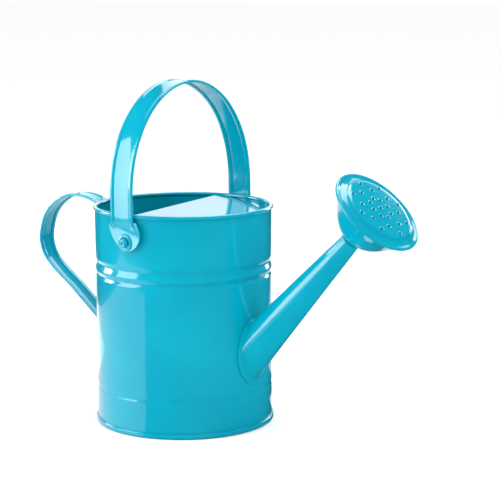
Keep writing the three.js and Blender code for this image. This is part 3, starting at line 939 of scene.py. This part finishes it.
outside = new_enamel("blue_enamel", (0.0, 0.33, 0.45, 1), (0.0, 0.285, 0.405, 1), 0.14, 0.22)
inside = new_enamel("blue_enamel_cover", (0.0, 0.33, 0.45, 1), (0.0, 0.275, 0.40, 1), 0.12, 0.2)

steel = bpy.data.materials.new("plain_steel")
steel.use_nodes = True
steel_tree = steel.node_tree
steel_shader = steel_tree.nodes["Principled BSDF"]
steel_shader.inputs["Metallic"].default_value = 1.0
steel_colour = place_group(steel_tree, depth_group, Thin_Colour=(0.62, 0.63, 0.64, 1),
                           Deep_Colour=(0.42, 0.43, 0.45, 1))
steel_gloss = place_group(steel_tree, smear_group, Clean_Roughness=0.25, Smeared_Roughness=0.42)
steel_tree.links.new(steel_colour.outputs["Colour"], steel_shader.inputs["Base Color"])
steel_tree.links.new(steel_gloss.outputs["Roughness"], steel_shader.inputs["Roughness"])

# %% Paint the pieces
slots = {"enamel_outside": outside, "enamel_inside": inside, "bare_steel": steel}
slot_of = {row["node"]: row["material_slot"] for row in frame["record"]["subparts"]}
for name, cad in frame["nodes"].items():
    cad.data.materials.clear()
    cad.data.materials.append(slots[slot_of[name]])
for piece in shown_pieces():
    if "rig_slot" in piece:
        piece.data.materials.clear()
        piece.data.materials.append(slots[piece["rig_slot"]])

# %% [markdown]
# ## Floor, light and camera
#
# A pale floor and sky make a white studio. Glossy enamel mostly shows what stands
# around it, so the sky is kept dim for reflections, and cards that only gloss can
# see are set round the can. One on the floor to the left draws the pale fade on the
# wall, and one on the floor behind lights the wall's two edges. One standing behind
# whitens the half cover, two on the left draw the line along the spout and the pale
# middle of the bail, and two more light the top and the right. The camera is a long
# lens, a little above the can.

# %% Where the viewer stands
eye = Vector((0.7361, -0.8835, 0.3181))
view_way = Vector((-0.59933, 0.78246, -0.16901))
NEAR = Vector((-view_way.x, -view_way.y, 0)).normalized()      # level, towards the viewer
RIGHT = Vector((-NEAR.y, NEAR.x, 0))                           # level, to the viewer's right


def around(degrees, distance, height=0.0):
    """A place seen from the can at this many degrees right of the viewer."""
    turn = math.radians(degrees)
    return (NEAR * math.cos(turn) + RIGHT * math.sin(turn)) * distance + Vector((0, 0, height))


# %% Floor and sky
deselect_all()
bpy.ops.mesh.primitive_plane_add(size=24, location=(0, 0, -0.0004))
floor = bpy.context.object
floor.name = floor.data.name = "floor"
floor_paint = bpy.data.materials.new("white_paper")
floor_paint.use_nodes = True
floor_shader = floor_paint.node_tree.nodes["Principled BSDF"]
floor_shader.inputs["Base Color"].default_value = (0.95, 0.95, 0.95, 1)
floor_shader.inputs["Roughness"].default_value = 0.85
floor.data.materials.append(floor_paint)
floor.visible_glossy = False

SKY_FOR_GLOSS = 0.02
sky = bpy.data.worlds.new("white_sky")
bpy.context.scene.world = sky
sky.use_nodes = True
sky_light = sky.node_tree.nodes["Background"]
sky_light.inputs["Color"].default_value = (1.0, 1.0, 1.0, 1)
ray = sky.node_tree.nodes.new("ShaderNodeLightPath")
dim = node(sky.node_tree, "ShaderNodeMapRange")
dim.inputs["To Min"].default_value = 1.14
dim.inputs["To Max"].default_value = SKY_FOR_GLOSS
sky.node_tree.links.new(ray.outputs["Is Glossy Ray"], dim.inputs["Value"])
sky.node_tree.links.new(dim.outputs["Result"], sky_light.inputs["Strength"])
bpy.context.scene.view_settings.view_transform = "Standard"


# %% Lights and cards
def panel(name, place, aim, width, height, power, for_gloss=False):
    light = bpy.data.lights.new(name, "AREA")
    light.shape = "RECTANGLE"
    light.size, light.size_y, light.energy = width, height, power
    holder = bpy.data.objects.new(name, light)
    bpy.context.scene.collection.objects.link(holder)
    holder.location = place
    holder.rotation_euler = (Vector(aim) - Vector(place)).to_track_quat("-Z", "Y").to_euler()
    holder.visible_camera = False
    holder.visible_diffuse = not for_gloss
    holder.visible_glossy = for_gloss
    return holder


def card(name, place, aim, width, height, brightness):
    """A panel only the gloss sees, as bright as the sky times this number."""
    power = brightness * math.pi * width * height
    return panel(name, place, aim, width, height, power, for_gloss=True)


def floor_card(name, place, way, length, width, brightness):
    """A card lying on the floor and facing up, with its length along the given way."""
    laid = card(name, place, place + Vector((0, 0, 1)), length, width, brightness)
    turn = Quaternion((0, 0, 1), math.atan2(way.y, way.x))
    laid.rotation_euler = (turn @ Quaternion((1, 0, 0), math.pi)).to_euler()


panel("top_light", (0.35, -0.15, 1.4), (0, 0, 0.1), 1.2, 1.2, 11)
panel("left_light", around(-75, 1.3, 0.5), (0, 0, 0.08), 0.7, 0.9, 9)
panel("right_light", around(115, 1.3, 0.5), (0.05, 0, 0.08), 0.5, 0.8, 4)

# The left card's near edge runs out from the wall, and gives the fade its sharp side.
CARD_EDGE = -49.7
along = around(CARD_EDGE, 1)
across = around(CARD_EDGE - 90, 1)
corner = around(CARD_EDGE / 2, BODY_RADIUS)
card_centre = corner + along * 0.21 + across * 0.23 + Vector((0, 0, 0.0005))
floor_card("floor_card", card_centre, along, 0.72, 0.46, 0.95)
floor_card("floor_card_behind", around(180, 0.62, 0.0005), NEAR, 1.0, 0.5, 0.8)
card("back_card", around(178, 1.3, 0.62), (0, 0, 0.15), 2.2, 0.8, 1.4)
card("left_card", around(-112, 1.1, 0.30), (0, 0, 0.15), 0.34, 0.42, 11)
card("bail_card", around(-76, 1.1, 0.47), (0, 0, 0.47), 0.62, 0.98, 5.5)
card("top_card", around(150, 0.5, 1.3), (0, 0, 0.2), 0.9, 0.9, 5)
card("right_card", around(140, 1.2, 0.35), (0, 0, 0.15), 0.25, 0.6, 5)
print("cards stand round the can; the sky for gloss is", SKY_FOR_GLOSS)

# %% Camera
camera_data = bpy.data.cameras.new("camera")
camera_data.lens = 117.94
camera_data.sensor_width = 36
camera = bpy.data.objects.new("camera", camera_data)
bpy.context.scene.collection.objects.link(camera)
camera.location = eye
roll = Quaternion((0, 0, 1), math.radians(-0.173))
camera.rotation_euler = (view_way.to_track_quat("-Z", "Y") @ roll).to_euler()
camera_data.clip_start, camera_data.clip_end = 0.05, 60
bpy.context.scene.camera = camera
